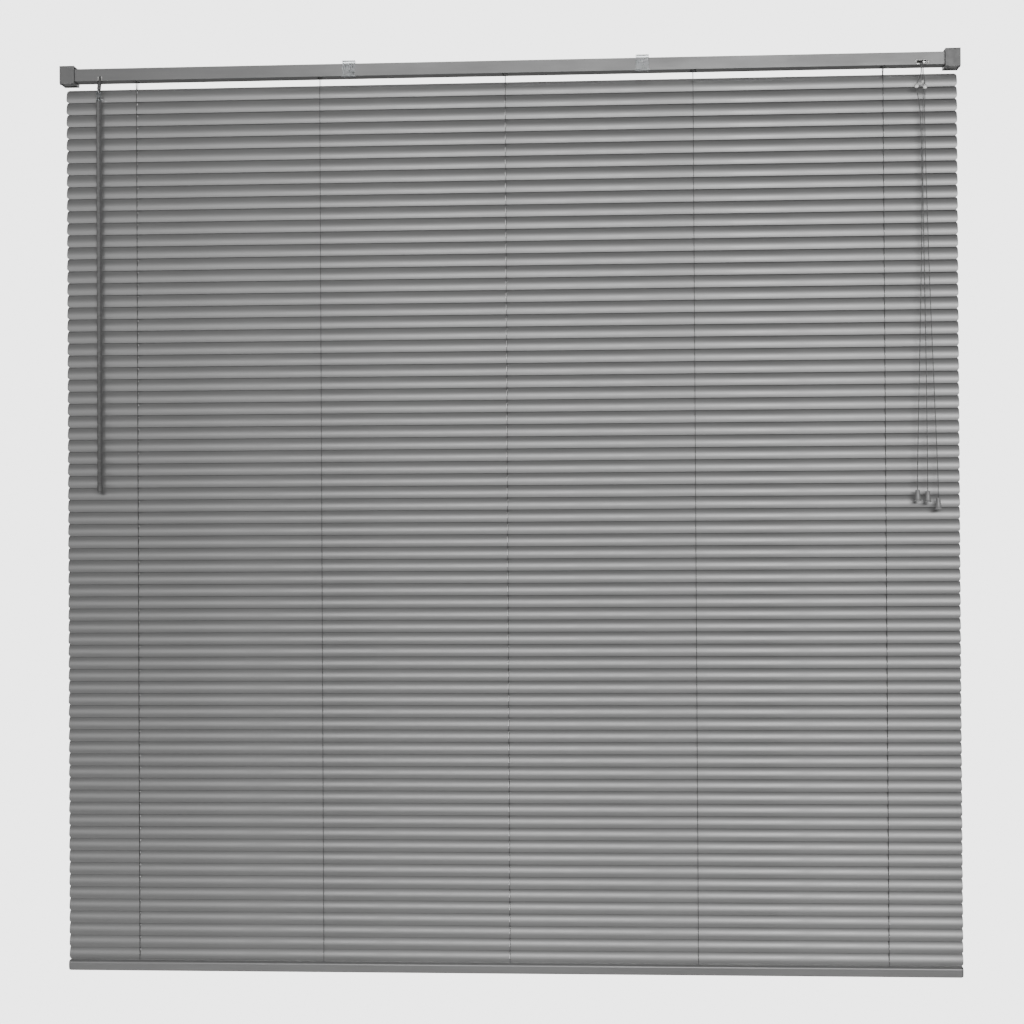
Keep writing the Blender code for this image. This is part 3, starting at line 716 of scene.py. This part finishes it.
def make_bottom_rail_details():
    """End caps, and under each ladder the plug that holds its strings."""
    low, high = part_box("bottom_rail")
    middle_z = (low.z + high.z) / 2
    half_depth, half_height = high.y - 0.1 * MM, high.z - middle_z
    outline = []
    for step in range(32):
        angle = math.tau * step / 32
        y = signed_power(math.cos(angle), 0.35) * half_depth
        outline.append((y, middle_z + signed_power(math.sin(angle), 0.55) * half_height))
    for word, side, x in (("left", -1, low.x), ("right", 1, high.x)):
        left, right = sorted((x, x + side * 2.2 * MM))
        cap = prism_mesh("cap", outline, left, right, 0.35 * MM)
        add_piece(f"rail_cap_{word}", cap, GREY_PLASTIC)
    for number, x in enumerate(LADDER_X, 1):
        under = Matrix.Translation((x, 0, low.z)) @ Matrix.Diagonal((1, 1.5, 1, 1))
        dome = [(0, -1.3 * MM), (3 * MM, -1.2 * MM), (4.4 * MM, -0.7 * MM), (5 * MM, 0), (0, 0)]
        add_piece(f"rail_plug_{number}", turned_mesh("plug", dome, 28, under), GREY_PLASTIC)


def make_sleeve_rings():
    """The ridges moulded round the clear sleeve's ends."""
    low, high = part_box("wand_sleeve")
    x, y = (low.x + high.x) / 2, (low.y + high.y) / 2
    outer = (high.x - low.x) / 2
    root, rim = outer - 0.1 * MM, outer + 0.35 * MM
    ring = [(root, 0.9 * MM), (rim, 0.6 * MM), (rim, -0.6 * MM), (root, -0.9 * MM)]
    for word, z in (("top", high.z - 1.5 * MM), ("bottom", low.z + 1.6 * MM)):
        mesh = turned_mesh("ring", ring, 32, Matrix.Translation((x, y, z)))
        add_piece(f"sleeve_ring_{word}", mesh, CLEAR, "wand_sleeve")


def make_stem_hook():
    """The dark collar that grips the worm's stem, above its ball."""
    places = {joint["name"]: Vector(joint["pos_m"]) for joint in frame["joints"]}
    start, end = places["tilter_worm_turn"], places["wand_swing"]
    lean = (end - start).normalized().to_track_quat("Z", "Y").to_matrix().to_4x4()
    stem, wide = 2.05 * MM, 3.6 * MM
    collar = [
        (stem, 17 * MM),
        (2.9 * MM, 17.3 * MM),
        (3.2 * MM, 19 * MM),
        (wide, 21 * MM),
        (wide, 24 * MM),
        (3.1 * MM, 25 * MM),
        (wide, 26 * MM),
        (wide, 30 * MM),
        (2.6 * MM, 31.5 * MM),
        (stem, 31.5 * MM),
    ]
    mesh = turned_mesh("hook", collar, 24, Matrix.Translation(start) @ lean)
    add_piece("stem_hook", mesh, WAND_PLASTIC, "tilter_worm")


make_bracket_details()
make_drum_cradles()
make_lock_guide()
make_bottom_rail_details()
make_sleeve_rings()
make_stem_hook()


# --- finishes of the kept frame pieces ------------------------------------------------------

KEPT_LOOKS = {
    "headrail": RAIL_PAINT,
    "bottom_rail": SLAT_PAINT,
    "bracket": GREY_PLASTIC,
    "door": GREY_PLASTIC,
    "support": CLEAR,
    "wand_sleeve": CLEAR,
    "wand": WAND_PLASTIC,
    "tilter_housing": NATURAL_PLASTIC,
    "tilter_wheel": NATURAL_PLASTIC,
    "tilter_worm": WAND_PLASTIC,
    "tilt_rod": STEEL,
    "ladder_drum": NATURAL_PLASTIC,
    "cord_lock_roller": ZINC,
    "cord_lock": NATURAL_PLASTIC,
    "lift_cord": CORD,
}
for name, node in frame["nodes"].items():
    for start, look in sorted(KEPT_LOOKS.items(), key=lambda pair: len(pair[0])):
        if name.startswith(start):
            node.data.materials.clear()
            node.data.materials.append(look)


# --- studio ---------------------------------------------------------------------------------


def add_light(name, place, target, size, power, spread=180):
    """A rectangular lamp of so many watts that faces its target, its beam spread in degrees."""
    data = bpy.data.lights.new(name, "AREA")
    data.shape = "RECTANGLE"
    data.size, data.size_y = size
    data.energy = power
    data.spread = math.radians(spread)
    light = bpy.data.objects.new(name, data)
    light.location = place
    light.rotation_euler = (Vector(target) - Vector(place)).to_track_quat("-Z", "Y").to_euler()
    bpy.context.scene.collection.objects.link(light)


def make_world():
    """A dim even sky that the camera sees as a bright, plain background."""
    sky_strength, seen_strength = 0.11, 3.6
    world = bpy.data.worlds.new("studio")
    bpy.context.scene.world = world
    world.use_nodes = True
    nodes, links = world.node_tree.nodes, world.node_tree.links
    sky, backdrop = nodes["Background"], nodes.new("ShaderNodeBackground")
    for background, strength in ((sky, sky_strength), (backdrop, seen_strength)):
        background.inputs["Color"].default_value = (1, 1, 1, 1)
        background.inputs["Strength"].default_value = strength
    ray = nodes.new("ShaderNodeLightPath")
    mix = nodes.new("ShaderNodeMixShader")
    links.new(ray.outputs["Is Camera Ray"], mix.inputs["Fac"])
    links.new(sky.outputs["Background"], mix.inputs[1])
    links.new(backdrop.outputs["Background"], mix.inputs[2])
    links.new(mix.outputs["Shader"], nodes["World Output"].inputs["Surface"])


def make_floor():
    look = Look("floor_white", (0.9, 0.9, 0.9), 0.7)
    look.vary_color(look.noise(3, detail=2), 0.99, 1.01)
    bm = bmesh.new()
    bmesh.ops.create_grid(bm, x_segments=8, y_segments=8, size=1.0)
    floor = bpy.data.objects.new("floor", finished_mesh("floor", bm))
    floor.data.materials.append(look.made)
    floor.scale = (3, 2.2, 1)
    floor.location = (0, -1.0, cad_low.z - 0.5)
    bpy.context.scene.collection.objects.link(floor)


middle = Vector((0, 0, MIDDLE_Z))
rail_front = Vector((0, 0, -0.03))
add_light("key", (2.1, -12.0, 2.35), middle, (9.5, 2.4), 790)
add_light("fill", (-2.6, -2.8, -0.6), middle, (1.6, 1.6), 4)
add_light("rim", (-0.9, 4.5, 1.6), middle, (4.0, 2.0), 95)
add_light("bounce", (0.1, -1.0, -1.9), rail_front, (2.4, 0.3), 3.0, 30)
make_world()
make_floor()
